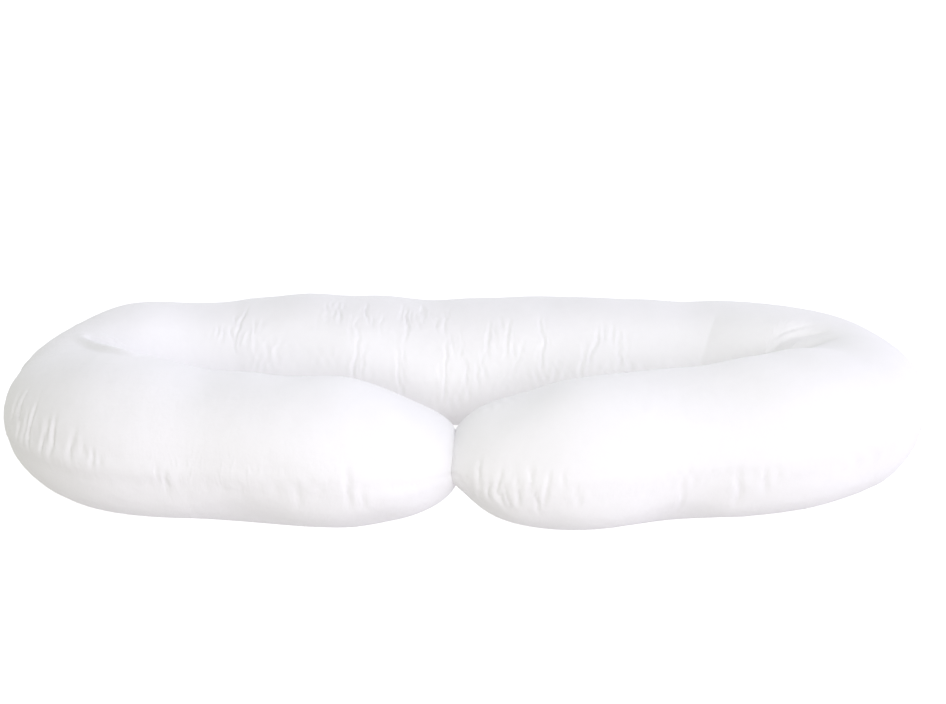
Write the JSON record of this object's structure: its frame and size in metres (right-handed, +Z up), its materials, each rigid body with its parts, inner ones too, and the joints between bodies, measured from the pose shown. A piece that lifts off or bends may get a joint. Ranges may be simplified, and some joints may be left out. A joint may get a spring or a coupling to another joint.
{
  "type": "body pillow",
  "caption": "Long round stuffed pillow in a plain cotton case, bent into a closed C so that its two rounded ends press together at the front.",
  "frame": {"origin": "on the floor, at the middle of the pillow's footprint", "axes": "+X along the straight back, towards the right as seen from the side where the ends meet; +Y from the meeting ends towards the back; +Z up from the floor"},
  "size_m": [1.4446, 0.5686, 0.2214],
  "materials": {
    "cotton_case": "matt plain-woven white polycotton"
  },
  "bodies": {
    "root": {"pillow_body": "cotton_case"}
  },
  "joints": []
}
